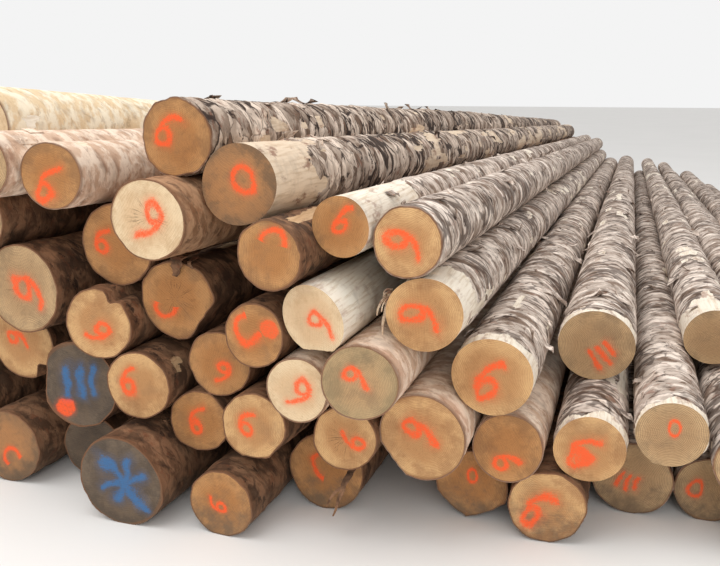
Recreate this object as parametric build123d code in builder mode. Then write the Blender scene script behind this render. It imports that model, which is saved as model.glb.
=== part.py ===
from build123d import *
from dataclasses import dataclass
import math
import os

# A heap of felled trunks, all lying the same way with their sawn butts at the front.
# X runs across the front of the heap, Y along the trunks, Z up; sizes in millimetres.

# Sizes shared by all the trunks.
TRUNK_LENGTH = 10000
TOP_THICKNESS = 0.74
KNEE_SHARE = 0.36

# Trunks aren't round: each outline is a many-sided ring, a little oval and a little lobed.
SIDES = 22
OVAL = 0.018
LOBE = 0.01
WIDEST = 1 + OVAL + LOBE

# How the top ends lie compared with the butts.
FAN_SHARE = 0.72
FAN_SHIFT = 235

# How the trunks are laid on each other.
SEAT = 0.3
ROLL = 60
SEARCH_STATION = 200
REST_STATION = 125
BALANCE_SHARE = 0.44
SIDE_COST = 0.15


@dataclass
class Flat:
    """A slanting cut on the side of a butt: where round the rim, how deep, how long."""

    angle: float
    depth: float
    run: float


@dataclass
class Notch:
    """A sharp notch in the rim of a butt: where round the rim, how wide, how long."""

    angle: float
    width: float
    run: float


@dataclass
class Trunk:
    """One trunk: its sizes, where its butt is put down, and how crooked it grew."""

    name: str
    butt: float
    across: float
    ahead: float = 0
    crook: float = 0
    crook_angle: float = 0
    top_shift: float = 0
    longer: float = 0
    saw_turn: float = 0
    saw_lean: float = 0
    cuts: tuple = ()
    against: str = ""

    def __post_init__(self):
        self.start = -self.ahead
        self.length = TRUNK_LENGTH + self.longer
        self.front_x = self.across
        self.back_x = self.across * FAN_SHARE + FAN_SHIFT + self.top_shift
        self.front_z = 0.0
        self.back_z = 0.0

    def knots(self):
        """Positions along Y of the butt, the knee and the top."""
        return [self.start + self.length * share for share in (0, KNEE_SHARE, 1)]

    def share(self, y):
        return (y - self.start) / self.length

    def radius(self, y):
        return self.butt / 2 * (1 + (TOP_THICKNESS - 1) * self.share(y))

    def crook_at(self, y):
        """Sideways and upward distance of the centre line from the straight one."""
        share = self.share(y)
        if share < KNEE_SHARE:
            size = self.crook * share / KNEE_SHARE
        else:
            size = self.crook * (1 - share) / (1 - KNEE_SHARE)
        turn = math.radians(self.crook_angle)
        return size * math.cos(turn), size * math.sin(turn)

    def centre(self, y):
        share = self.share(y)
        side, up = self.crook_at(y)
        x = self.front_x + (self.back_x - self.front_x) * share + side
        z = self.front_z + (self.back_z - self.front_z) * share + up
        return x, z

    def outline(self, y):
        """Corners of the section at y measured from its centre, anticlockwise from +X."""
        radius = self.radius(y)
        turn = math.radians(self.across)
        corners = []
        for side in range(SIDES):
            angle = 2 * math.pi * side / SIDES
            swell = OVAL * math.cos(2 * (angle - turn)) + LOBE * math.cos(3 * (angle + turn))
            reach = radius * (1 + swell)
            corners.append((reach * math.cos(angle), reach * math.sin(angle)))
        return corners


# The trunks in the order they were laid, from the ground up.
GROUND_TRUNKS = [
    Trunk("base_log_02", 288, -2815, -30),
    Trunk("base_log_01", 296, -3120, 40, against="base_log_02"),
    Trunk("base_log_03", 315, -2290, 120, 18, 90),
    Trunk("base_log_04", 284, -1974, -10, 22, 60),
    Trunk("base_log_05", 352, -1660, 270, 15, 90),
    Trunk("base_log_06", 257, -1266, 240, 20, 90, saw_turn=-4, saw_lean=2),
    Trunk("base_log_07", 308, -989, -60, 12, 90),
    Trunk("base_log_08", 223, -677, -900, against="base_log_07"),
    Trunk("base_log_09", 276, -410, -150, 25, 90, cuts=(Flat(-128, 22, 500), Flat(-62, 26, 450))),
    Trunk("base_log_10", 277, -135, -60, 20, 90, saw_turn=3),
    Trunk("base_log_11", 296, 153, -370, 15, 90, against="base_log_10"),
    Trunk("base_log_12", 250, 435, -400, 10, 90, against="base_log_11"),
    Trunk("base_log_13", 299, 719, -180, against="base_log_12"),
    Trunk("base_log_14", 269, 1032, -260),
    Trunk("base_log_15", 283, 1323, -80, against="base_log_14"),
    Trunk("base_log_16", 288, 1639, -150, against="base_log_15"),
]

MIDDLE_TRUNKS = [
    Trunk("second_log_01", 296, -2901, 60),
    Trunk("second_log_02", 301, -2523, 40, against="base_log_03"),
    Trunk("second_log_03", 254, 28, -90, 20, 90),
    Trunk("second_log_04", 255, -272, -30, 25, 90, saw_lean=3),
    Trunk("second_log_05", 257, -1188, 170, 15, -90, cuts=(Flat(-38, 16, 380), Flat(-88, 10, 300))),
    Trunk("second_log_06", 249, -1395, 100),
    Trunk("second_log_07", 353, -1925, 110, 15, 90, cuts=(Flat(172, 30, 420),)),
    Trunk("second_log_08", 242, -850, 120, 20, 90),
    Trunk("second_log_09", 246, 553, -150, 20, 90),
    Trunk("second_log_10", 271, 884, -240),
    Trunk("second_log_11", 269, 1167, -160),
    Trunk("second_log_12", 311, -607, 110, 10, 90, saw_turn=-2, cuts=(Flat(-142, 20, 600),)),
    Trunk("third_log_01", 304, -2233, 20, 55, -90, cuts=(Notch(-52, 95, 520),)),
    Trunk("third_log_02", 266, -1565, 170, 20, 90, saw_turn=2, saw_lean=-2),
    Trunk("third_log_03", 244, 210, -140, 15, -90),
    Trunk("third_log_04", 221, 697, -300),
    Trunk("third_log_05", 262, -2731, 80, against="second_log_01"),
    Trunk("third_log_06", 238, -1000, 200, 25, 90, saw_turn=-3),
    Trunk("third_log_07", 253, -1330, 100, 20, 90),
    Trunk("third_log_08", 287, -391, 10, 20, 90),
    Trunk("third_log_09", 262, -718, 260, 10, 90, saw_turn=4, saw_lean=2),
    Trunk("third_log_10", 290, 0, -450, 30, 90, saw_lean=-3),
    Trunk("third_log_11", 241, 402, -850, 30, 90),
]

UPPER_TRUNKS = [
    Trunk("fourth_log_01", 278, -1769, 160, 20, 90, cuts=(Notch(58, 80, 420),)),
    Trunk("fourth_log_02", 232, -1174, 190, 20, 90),
    Trunk("fourth_log_03", 340, -2074, 180, 30, -90, saw_turn=-3),
    Trunk("fourth_log_04", 254, -2490, 90),
    Trunk("fourth_log_05", 304, -1468, 70, 20, 90, cuts=(Flat(-36, 34, 700),)),
    Trunk("fourth_log_06", 250, -947, 260, 20, 90, saw_turn=-14, saw_lean=-6, cuts=(Flat(-84, 18, 480),)),
    Trunk("fourth_log_07", 264, -514, 140, 15, -90, saw_turn=2, saw_lean=-2),
    Trunk("fifth_log_01", 302, -1717, 80, 20, 90),
    Trunk("fifth_log_03", 234, -2420, 60),
    Trunk("fifth_log_02", 266, -2278, 190),
    Trunk("fifth_log_07", 272, -2682, 30),
    Trunk("fifth_log_05", 228, -971, 270, 10, 90),
    Trunk("fifth_log_06", 238, -602, 150, saw_turn=-2, saw_lean=2),
    Trunk("sixth_log_01", 279, -1468, 290, 10, -90),
    Trunk("sixth_log_02", 242, -1819, 230, saw_turn=3, saw_lean=1),
    Trunk("sixth_log_03", 246, -2169, 280),
    Trunk("sixth_log_06", 297, -2535, 110),
    Trunk("sixth_log_04", 212, -779, 160, saw_turn=-4),
    Trunk("sixth_log_05", 283, -1190, 160, saw_turn=2, saw_lean=3),
    Trunk("top_log_01", 320, -2380, -60, 80, -90),
    Trunk("top_log_02", 270, -1409, 150, 25, 90, saw_turn=-3, saw_lean=-3),
]

HEAP = GROUND_TRUNKS + MIDDLE_TRUNKS + UPPER_TRUNKS


def stations_for(trunk, neighbours, spacing):
    """Places along a trunk where contact is tried, its neighbours' ends among them."""
    steps = max(2, math.ceil(trunk.length / spacing))
    places = {trunk.start + trunk.length * step / steps for step in range(steps + 1)}
    places.update(trunk.knots())
    for other in neighbours:
        for place in other.knots():
            if trunk.start < place < trunk.start + trunk.length:
                places.add(place)
    return sorted(places)


def resting_line(points):
    """Ends of the lowest straight line that lies on or above all the points and balances."""
    hull = []
    for point in points:
        while len(hull) > 1:
            (s1, h1), (s2, h2) = hull[-2], hull[-1]
            if (h2 - h1) * (point[0] - s1) > (point[1] - h1) * (s2 - s1):
                break
            hull.pop()
        hull.append(point)
    for (s1, h1), (s2, h2) in zip(hull, hull[1:]):
        if s2 >= BALANCE_SHARE:
            slope = (h2 - h1) / (s2 - s1)
            return h1 - slope * s1, h1 + slope * (1 - s1)


def under_and_upper_edges(corners, x, z):
    """The two edges of an outline placed at x, z, each from its left to its right end."""
    placed = [(x + corner_x, z + corner_z) for corner_x, corner_z in corners]
    left = min(range(len(placed)), key=lambda i: placed[i][0])
    ring = placed[left:] + placed[:left] + [placed[left]]
    right = max(range(len(ring)), key=lambda i: ring[i][0])
    return ring[: right + 1], ring[right:][::-1]


def height_on(edge, x):
    """Height of an edge at x."""
    for (x1, z1), (x2, z2) in zip(edge, edge[1:]):
        if x <= x2:
            return z1 + (z2 - z1) * (x - x1) / (x2 - x1) if x2 > x1 else max(z1, z2)
    return edge[-1][1]


def lift_to_clear(under_edge, upper_edge):
    """How far an outline must be raised for its underside to clear the one below it."""
    left = max(under_edge[0][0], upper_edge[0][0])
    right = min(under_edge[-1][0], upper_edge[-1][0])
    if left >= right:
        return -math.inf
    places = [x for x, z in under_edge + upper_edge if left < x < right] + [left, right]
    return max(height_on(upper_edge, x) - height_on(under_edge, x) for x in places)


def find_hollow(trunk, neighbours):
    """Roll a trunk sideways, within reach, to where its middle lies lowest."""
    places = []
    for y in stations_for(trunk, neighbours, SEARCH_STATION):
        side, up = trunk.crook_at(y)
        circles = []
        for other in neighbours:
            if other.start <= y <= other.start + other.length:
                reach = (trunk.radius(y) + other.radius(y)) * WIDEST
                circles.append((*other.centre(y), reach))
        places.append((trunk.share(y), side, up, trunk.radius(y), circles))

    wanted_front, wanted_back = trunk.front_x, trunk.back_x

    def cost(front_x, back_x):
        points = []
        for share, side, up, radius, circles in places:
            x = front_x + (back_x - front_x) * share + side
            height = radius
            for other_x, other_z, reach in circles:
                if abs(x - other_x) < reach:
                    height = max(height, other_z + math.sqrt(reach**2 - (x - other_x) ** 2))
            points.append((share, height - up))
        front_z, back_z = resting_line(points)
        level = front_z + (back_z - front_z) * BALANCE_SHARE
        return level + SIDE_COST * (abs(front_x - wanted_front) + abs(back_x - wanted_back))

    best = cost(trunk.front_x, trunk.back_x)
    step = 16.0
    moves = [(1, 1), (-1, -1), (1, 0), (-1, 0), (0, 1), (0, -1), (1, -1), (-1, 1)]
    while step > 0.4:
        moved = False
        for front_move, back_move in moves:
            new_front = trunk.front_x + front_move * step
            new_back = trunk.back_x + back_move * step
            if abs(new_front - wanted_front) > ROLL or abs(new_back - wanted_back) > ROLL:
                continue
            trial = cost(new_front, new_back)
            if trial < best - 0.001:
                best, trunk.front_x, trunk.back_x, moved = trial, new_front, new_back, True
        if not moved:
            step /= 2


def let_down(trunk, neighbours):
    """Lower a trunk straight down until its outline rests on the ones below it."""
    points = []
    for y in stations_for(trunk, neighbours, REST_STATION):
        x = trunk.centre(y)[0]
        up = trunk.crook_at(y)[1]
        under_edge, _ = under_and_upper_edges(trunk.outline(y), x, 0)
        height = -min(z for _, z in under_edge)
        for other in neighbours:
            if other.start <= y <= other.start + other.length:
                other_x, other_z = other.centre(y)
                if abs(x - other_x) < (trunk.butt + other.butt) / 2 * WIDEST:
                    _, upper_edge = under_and_upper_edges(other.outline(y), other_x, other_z)
                    height = max(height, lift_to_clear(under_edge, upper_edge) + SEAT)
        points.append((trunk.share(y), height - up))
    trunk.front_z, trunk.back_z = resting_line(points)


def push_against(trunk, other):
    """Slide a trunk sideways along the ground until it touches the one beside it."""
    left, right = sorted((trunk, other), key=lambda t: t.across)
    slides = []
    for y in stations_for(trunk, [other], REST_STATION):
        if other.start <= y <= other.start + other.length:
            facing_edges = []
            for side in (right, left):
                x, z = side.centre(y)
                on_edge = [(corner_z, corner_x) for corner_x, corner_z in side.outline(y)[::-1]]
                facing_edges.append(under_and_upper_edges(on_edge, z, x))
            slides.append(-lift_to_clear(facing_edges[0][0], facing_edges[1][1]) - SEAT)
    slide = min(slides) if trunk is left else -min(slides)
    trunk.front_x += slide
    trunk.back_x += slide


def lay(trunk, laid):
    """Let a trunk roll into the nearest hollow and come to rest on what is below it."""
    neighbours = []
    for other in laid:
        reach = (trunk.butt + other.butt) / 2 + 2 * ROLL + abs(trunk.crook) + abs(other.crook)
        near_front = abs(other.front_x - trunk.front_x) < reach
        near_back = abs(other.back_x - trunk.back_x) < reach
        if near_front or near_back:
            neighbours.append(other)
    find_hollow(trunk, neighbours)
    let_down(trunk, neighbours)
    for other in laid:
        if other.name == trunk.against:
            push_against(trunk, other)
            let_down(trunk, neighbours)


def lay_heap(trunks):
    laid = []
    for trunk in trunks:
        lay(trunk, laid)
        laid.append(trunk)


def centre_heap(trunks):
    """Shift the laid heap so that the middle of its footprint is the origin."""
    sides = [t.centre(y)[0] + x for t in trunks for y in t.knots() for x, _ in t.outline(y)]
    middle_x = (min(sides) + max(sides)) / 2
    front = min(t.start for t in trunks)
    back = max(t.start + t.length for t in trunks)
    for trunk in trunks:
        trunk.front_x -= middle_x
        trunk.back_x -= middle_x
        trunk.start -= (front + back) / 2


def rim_point(trunk, y, angle, inward=0.0):
    """Point on the rim of a trunk at y, or that much inside it, at an angle from +X to +Z."""
    x, z = trunk.centre(y)
    reach = trunk.radius(y) - inward
    turn = math.radians(angle)
    return Vector(x + reach * math.cos(turn), y, z + reach * math.sin(turn))


def build_trunk(trunk):
    """One trunk: tapered lengths joined at the knee, then the cuts at its butt."""
    butt_x, butt_z = trunk.centre(trunk.start)
    butt_centre = Vector(butt_x, trunk.start, butt_z)
    with BuildPart() as log:
        for y in trunk.knots():
            x, z = trunk.centre(y)
            with BuildSketch(Plane(origin=(x, y, z), x_dir=(1, 0, 0), z_dir=(0, -1, 0))):
                Polygon(*trunk.outline(y), align=None)
        loft(ruled=True)

        # The saw went through at a slight angle.
        if trunk.saw_turn or trunk.saw_lean:
            turn, lean = math.radians(trunk.saw_turn), math.radians(trunk.saw_lean)
            facing = Vector(math.sin(turn), -math.cos(turn) * math.cos(lean), math.sin(lean))
            slope = math.hypot(facing.X, facing.Z) / abs(facing.Y)
            middle = butt_centre + Vector(0, trunk.butt / 2 * slope, 0)
            split(bisect_by=Plane(origin=middle, z_dir=facing), keep=Keep.BOTTOM)

        for cut in trunk.cuts:
            run_out = rim_point(trunk, trunk.start + cut.run, cut.angle)
            if isinstance(cut, Flat):
                inner = rim_point(trunk, trunk.start, cut.angle, cut.depth)
                turn = math.radians(cut.angle)
                along_rim = Vector(-math.sin(turn), 0, math.cos(turn))
                facing = (run_out - inner).cross(along_rim)
                split(bisect_by=Plane(origin=inner, z_dir=facing), keep=Keep.BOTTOM)
            else:
                mouth = rim_point(trunk, trunk.start, cut.angle)
                for point, width in ((mouth, cut.width), (run_out, cut.width / 10)):
                    with BuildSketch(Plane(origin=point, x_dir=(1, 0, 0), z_dir=(0, -1, 0))):
                        RegularPolygon(width / 2, 4, rotation=cut.angle)
                loft(ruled=True, mode=Mode.SUBTRACT)
    log.part.label = trunk.name
    return log


lay_heap(HEAP)
centre_heap(HEAP)
os.makedirs("parts", exist_ok=True)
for trunk in HEAP:
    log = build_trunk(trunk)
    export_step(log.part, f"parts/{trunk.name}.step")
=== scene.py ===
import logging
import math
from dataclasses import dataclass
from enum import Enum

import bpy
import numpy as np
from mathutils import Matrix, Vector
from mathutils.bvhtree import BVHTree


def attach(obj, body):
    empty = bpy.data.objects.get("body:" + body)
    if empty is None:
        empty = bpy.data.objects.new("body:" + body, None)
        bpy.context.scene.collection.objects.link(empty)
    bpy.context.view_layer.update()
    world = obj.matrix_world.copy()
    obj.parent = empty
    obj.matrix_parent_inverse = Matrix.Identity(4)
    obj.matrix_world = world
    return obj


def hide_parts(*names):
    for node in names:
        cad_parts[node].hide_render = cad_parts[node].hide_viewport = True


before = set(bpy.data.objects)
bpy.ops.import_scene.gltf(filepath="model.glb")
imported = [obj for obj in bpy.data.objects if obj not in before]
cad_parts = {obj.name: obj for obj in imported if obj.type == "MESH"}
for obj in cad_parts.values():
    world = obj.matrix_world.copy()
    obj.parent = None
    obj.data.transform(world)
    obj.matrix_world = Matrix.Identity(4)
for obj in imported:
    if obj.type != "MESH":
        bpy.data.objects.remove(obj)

log = logging.getLogger("heap")

Colour = tuple[float, float, float]
Place = tuple[float, float, float]

# Lengths are in metres.
BARK_THICKNESS = 0.005
RELIEF_LIMIT = 0.011
SMOOTHING_LIMIT = 0.0022
CUTS_REACH = 1.2
RING_WIDTH = 0.0055
SAW_TOOTH = 0.009
FLAP_THICKNESS = 0.0014
USUAL_RADIUS = 0.13
SOLID_SIDES = 22
SHARP_ANGLE = math.radians(48)
MARK_PAINTS = {"first_mark": (246, 92, 44), "second_mark": (240, 98, 52), "blue_mark": (62, 108, 156)}


# Colours and choices


def linear(colour: Colour) -> tuple[float, float, float, float]:
    """A colour written as it looks, 0 to 255, in the numbers that a shader takes."""
    parts = [part / 255 for part in colour]
    return (*[p / 12.92 if p <= 0.04045 else ((p + 0.055) / 1.055) ** 2.4 for p in parts], 1.0)


class Detail(Enum):
    """How many strips a trunk has around it and along it."""

    NEAR = (80, 150)
    COMMON = (52, 84)


class MarkShape(Enum):
    """What was sprayed on a sawn end; 0 stands for nothing."""

    SIX = 1
    RING = 2
    ARC = 3
    BLOB = 4
    STAR = 5
    SCRIBBLE = 6


@dataclass(frozen=True)
class BarkFinish:
    """Colours, streaks and relief of one kind of bark."""

    name: str
    pale: Colour
    deep: Colour
    streak: Colour
    flake: Colour
    bare: Colour
    streaks: float
    flakes: float
    plates: float
    relief: float
    slot: str


@dataclass(frozen=True)
class WoodFinish:
    """Colours of one kind of sawn end."""

    name: str
    heart: Colour
    outer: Colour
    ring: Colour
    stain: Colour
    stained: float
    dirt: float
    rings: float


class BarkTone(Enum):
    """The kinds of bark in the heap."""

    BIRCH = BarkFinish("pale_streaked_bark", (246, 230, 216), (130, 108, 92), (62, 44, 35), (138, 84, 62),
                       (244, 232, 214), 0.95, 0.45, 0.75, 1.1, "grey_bark")
    TORN = BarkFinish("torn_bark", (236, 216, 198), (112, 90, 74), (48, 33, 26), (126, 78, 58),
                      (228, 206, 180), 1.0, 0.6, 0.95, 1.9, "grey_bark")
    SMOOTH = BarkFinish("smooth_bark", (240, 219, 198), (206, 173, 147), (122, 86, 66), (156, 102, 76),
                        (238, 222, 196), 0.35, 0.35, 0.2, 0.5, "grey_bark")
    TAN = BarkFinish("tan_bark", (186, 146, 112), (134, 98, 70), (76, 52, 38), (150, 98, 66), (222, 194, 156),
                     0.6, 0.4, 0.35, 1.0, "dark_bark")
    DARK = BarkFinish("dark_bark", (146, 108, 80), (80, 56, 40), (40, 28, 21), (120, 72, 48),
                      (208, 172, 132), 0.8, 0.5, 0.45, 1.4, "dark_bark")
    PEELED = BarkFinish("peeled_wood", (244, 232, 208), (226, 200, 162), (140, 112, 88), (150, 90, 62),
                        (250, 242, 226), 0.3, 0.12, 0.1, 0.3, "peeled_wood")


class WoodTone(Enum):
    """The kinds of sawn end in the heap."""

    AMBER = WoodFinish(
        "amber_end", (175, 122, 73), (190, 141, 91), (138, 88, 52), (118, 84, 56), 0.5, 0.3, 0.35)
    DUSKY = WoodFinish(
        "dusky_end", (174, 124, 80), (152, 113, 78), (130, 88, 56), (98, 80, 62), 0.65, 0.4, 0.25)
    HONEY = WoodFinish(
        "honey_end", (187, 140, 93), (214, 173, 122), (156, 106, 66), (142, 96, 60), 0.5, 0.2, 0.4)
    CREAM = WoodFinish(
        "cream_end", (216, 183, 144), (228, 203, 166), (190, 152, 110), (176, 138, 98), 0.4, 0.1, 0.25)
    GREY = WoodFinish(
        "grey_tan_end", (182, 147, 107), (199, 166, 124), (138, 108, 78), (122, 100, 76), 0.5, 0.3, 0.75)
    MOSSY = WoodFinish(
        "green_tan_end", (186, 150, 109), (180, 152, 113), (130, 106, 76), (126, 110, 82), 0.55, 0.4, 0.4)
    MUDDY = WoodFinish(
        "muddy_end", (92, 79, 67), (114, 98, 82), (66, 56, 47), (62, 54, 48), 0.5, 0.7, 0.4)


@dataclass(frozen=True)
class Mark:
    """A sprayed mark: its place and half height in butt radii, its turn in degrees."""

    shape: MarkShape
    across: float
    up: float
    size: float
    turn: float = 0.0
    blue: bool = False


@dataclass(frozen=True)
class Look:
    """How one trunk looks: wood, bark, marks, length stripped at the butt, share of bare patches."""

    wood: WoodTone = WoodTone.HONEY
    bark: BarkTone = BarkTone.DARK
    marks: tuple[Mark, ...] = ()
    strip: float = 0.0
    patches: float = 0.1
    detail: Detail = Detail.COMMON
    flaps: int = 0
    cracks: float = 0.2


AMBER, DUSKY, HONEY, CREAM, GREY, MOSSY, MUDDY = WoodTone
BIRCH, TORN, SMOOTH, TAN, DARK, PEELED = BarkTone
SIX, RING, ARC, BLOB, STAR, SCRIBBLE = MarkShape
NEAR = Detail.NEAR

# The looks by tier and place in the tier; a trunk that is not named looks plain.
TIERS = {
    "base": {
        1: Look(MUDDY, DARK),
        2: Look(GREY, DARK),
        3: Look(DUSKY, DARK, (Mark(ARC, 0.1, -0.3, 0.35, 40),)),
        4: Look(MUDDY, DARK),
        5: Look(MUDDY, DARK, (Mark(STAR, 0.05, 0.0, 0.62, 12, blue=True),), patches=0.05, flaps=6),
        6: Look(AMBER, DARK, (Mark(SIX, -0.2, -0.12, 0.36, 75),)),
        7: Look(AMBER, DARK, (Mark(ARC, 0.0, 0.2, 0.45, 60),)),
        9: Look(AMBER, DARK, (Mark(RING, 0.0, 0.25, 0.3),)),
        10: Look(HONEY, DARK, (Mark(SIX, -0.25, 0.0, 0.55, -24),)),
        11: Look(GREY, BIRCH, (Mark(SCRIBBLE, -0.1, -0.05, 0.4, 10),)),
        12: Look(GREY, BIRCH, (Mark(RING, -0.4, 0.0, 0.4),)),
        13: Look(GREY, BIRCH, patches=0.15),
        14: Look(HONEY, BIRCH, patches=0.15),
        15: Look(GREY, BIRCH, strip=0.08, patches=0.15),
        16: Look(AMBER, BIRCH, patches=0.2),
    },
    "second": {
        2: Look(GREY, DARK),
        3: Look(HONEY, BIRCH, (Mark(SIX, -0.15, 0.05, 0.62, -20), Mark(BLOB, -0.1, -0.25, 0.4)), strip=0.05,
                patches=0.2, detail=NEAR, flaps=12),
        4: Look(AMBER, SMOOTH, (Mark(SIX, -0.05, -0.3, 0.45, -60),), patches=0.2, flaps=5),
        5: Look(HONEY, DARK, (Mark(SIX, -0.3, 0.1, 0.5, -10),)),
        6: Look(AMBER, DARK, (Mark(SIX, -0.1, 0.1, 0.5),)),
        7: Look(MUDDY, DARK, (Mark(BLOB, -0.44, -0.56, 0.34), Mark(SCRIBBLE, 0.0, 0.1, 0.6, 20, blue=True))),
        8: Look(HONEY, DARK, (Mark(SIX, 0.2, -0.1, 0.42, 80),), cracks=0.8),
        9: Look(GREY, BIRCH, patches=0.15, detail=NEAR, flaps=14),
        10: Look(HONEY, BIRCH, strip=0.05, patches=0.15),
        11: Look(AMBER, BIRCH, patches=0.15),
        12: Look(HONEY, SMOOTH, (Mark(SIX, 0.05, 0.2, 0.52, -110),), patches=0.15),
    },
    "third": {
        1: Look(HONEY, DARK, (Mark(SIX, -0.1, 0.15, 0.4, -90),)),
        2: Look(HONEY, DARK, (Mark(SIX, -0.4, 0.1, 0.5, 5),)),
        3: Look(GREY, BIRCH, (Mark(RING, 0.05, 0.2, 0.34),), strip=0.04, detail=NEAR, flaps=20),
        4: Look(GREY, BIRCH, patches=0.15),
        5: Look(GREY, DARK),
        6: Look(CREAM, SMOOTH, (Mark(SIX, 0.15, -0.1, 0.54, 158),)),
        7: Look(AMBER, DARK, (Mark(SIX, 0.15, -0.3, 0.45, 170),)),
        8: Look(HONEY, BIRCH, (Mark(SIX, -0.12, 0.0, 0.56, -6),), strip=0.07, patches=0.12, detail=NEAR,
                flaps=24),
        9: Look(MOSSY, SMOOTH, (Mark(SIX, 0.0, 0.2, 0.42, -102),)),
        10: Look(GREY, BIRCH, (Mark(SCRIBBLE, 0.17, -0.2, 0.45, 62),), strip=0.06, detail=NEAR, flaps=22),
        11: Look(GREY, BIRCH, strip=0.22, patches=0.3, detail=NEAR, flaps=14),
    },
    "fourth": {
        1: Look(HONEY, DARK, (Mark(SIX, 0.0, -0.3, 0.48, 140),), patches=0.2),
        2: Look(AMBER, DARK, (Mark(ARC, -0.2, 0.25, 0.68, 128), Mark(BLOB, 0.5, 0.28, 0.5)), patches=0.2),
        3: Look(GREY, DARK, (Mark(SIX, 0.2, 0.07, 0.5, -105),), patches=0.3, flaps=8, cracks=0.5),
        5: Look(AMBER, DARK, (Mark(ARC, -0.35, -0.25, 0.4, 165),), cracks=0.8),
        6: Look(CREAM, PEELED, (Mark(SIX, 0.34, 0.0, 0.52, -110),), strip=0.95, patches=0.2, detail=NEAR,
                flaps=4),
        7: Look(HONEY, BIRCH, (Mark(SIX, 0.0, 0.0, 0.6, -98),), strip=0.2, patches=0.22, detail=NEAR,
                flaps=24),
    },
    "fifth": {
        1: Look(AMBER, DARK, (Mark(SIX, -0.45, 0.1, 0.42),)),
        2: Look(GREY, DARK),
        5: Look(AMBER, DARK, (Mark(ARC, 0.2, 0.5, 0.5, -20),)),
        6: Look(HONEY, BIRCH, (Mark(SIX, -0.02, 0.05, 0.58, -105),), patches=0.12, detail=NEAR, flaps=22),
    },
    "sixth": {
        1: Look(CREAM, TAN, (Mark(SIX, 0.1, -0.1, 0.56, 168),), cracks=0.9),
        2: Look(AMBER, SMOOTH, (Mark(SIX, -0.15, -0.2, 0.64, -8),), detail=NEAR, flaps=6),
        3: Look(GREY, SMOOTH, detail=NEAR, flaps=6),
        4: Look(AMBER, BIRCH, (Mark(SIX, 0.0, 0.25, 0.5, -12),), strip=0.62, patches=0.15, detail=NEAR,
                flaps=10),
        5: Look(DUSKY, TORN, (Mark(RING, 0.12, 0.15, 0.52, 6),), strip=0.34, patches=0.35, detail=NEAR,
                flaps=22),
        6: Look(GREY, SMOOTH, patches=0.15),
    },
    "top": {
        1: Look(CREAM, PEELED, detail=NEAR),
        2: Look(AMBER, TORN, (Mark(SIX, -0.28, 0.3, 0.55, -24),), patches=0.25, detail=NEAR, flaps=30),
    },
}
LOOKS = {f"{tier}_log_{number:02}": look for tier, looks in TIERS.items() for number, look in looks.items()}


# Relief


def corner_values(corners: np.ndarray, seed: int) -> np.ndarray:
    """Repeatable random numbers from 0 to 1 at the corners of a lattice.

    Args:
        corners: Whole-numbered places, three to a row.
        seed: Chooses one of many lattices.

    Returns:
        One number for each row.
    """
    mixed = corners[:, 0] * 374761393 + corners[:, 1] * 668265263 + corners[:, 2] * 1442695041 + seed * 97531
    mixed = (mixed ^ (mixed >> 13)) * 1274126177
    mixed = mixed ^ (mixed >> 16)
    return (mixed & 0xFFFFFF) / float(0xFFFFFF)


def lumps(points: np.ndarray, cell: Place, seed: int) -> np.ndarray:
    """Smooth random lumps from -1 to 1.

    Args:
        points: Places in metres, three to a row.
        cell: Size of a lump along X, Y and Z, in metres.
        seed: Chooses one of many patterns.

    Returns:
        One height for each row.
    """
    place = points / np.array(cell)
    corner = np.floor(place).astype(np.int64)
    share = place - corner
    share = share * share * (3 - 2 * share)
    total = np.zeros(len(points))
    for step in range(8):
        offset = np.array([step & 1, step >> 1 & 1, step >> 2 & 1])
        weight = np.prod(np.where(offset == 1, share, 1 - share), axis=1)
        total += weight * corner_values(corner + offset, seed)
    return total * 2 - 1


def turned(across: np.ndarray, up: np.ndarray, angle: float) -> tuple[np.ndarray, np.ndarray]:
    """Places turned about the middle, by an angle in radians."""
    return across * math.cos(angle) - up * math.sin(angle), across * math.sin(angle) + up * math.cos(angle)


def fade(values: np.ndarray, low: float, high: float) -> np.ndarray:
    """0 at low and 1 at high, smooth between them."""
    share = np.clip((values - low) / (high - low), 0, 1)
    return share * share * (3 - 2 * share)


# Shader nodes


class Flow:
    """A number, vector or colour that a node gives, to reckon with by the usual signs."""

    def __init__(self, sketch: "NodeSketch", socket: bpy.types.NodeSocket) -> None:
        """Takes one output of a node of the sketch."""
        self.sketch, self.socket = sketch, socket

    def reckon(self, operation: str, first: object, second: object) -> "Flow":
        """The result of a calculation that this flow is part of."""
        kind = "ShaderNodeVectorMath" if self.socket.type in ("VECTOR", "RGBA") else "ShaderNodeMath"
        return self.sketch.flow(kind, {0: first, 1: second}, operation=operation)

    def __add__(self, other: object) -> "Flow":
        """The sum of both."""
        return self.reckon("ADD", self, other)

    def __sub__(self, other: object) -> "Flow":
        """This less the other."""
        return self.reckon("SUBTRACT", self, other)

    def __rsub__(self, other: float) -> "Flow":
        """A number less this."""
        return self.reckon("SUBTRACT", other, self)

    def __mul__(self, other: object) -> "Flow":
        """The product of both."""
        return self.reckon("MULTIPLY", self, other)

    def __abs__(self) -> "Flow":
        """The number without its sign."""
        return self.sketch.math("ABSOLUTE", self)

    def length(self) -> "Flow":
        """The vector's length."""
        return self.sketch.measure("LENGTH", self)

    def ramp(self, low: float, high: float, top: object = 1.0) -> "Flow":
        """0 where the number is low and top where it is high, smooth between them."""
        inputs = {"Value": self, "From Min": low, "From Max": high, "To Min": 0.0, "To Max": top}
        return self.sketch.flow("ShaderNodeMapRange", inputs, interpolation_type="SMOOTHSTEP")


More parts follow.
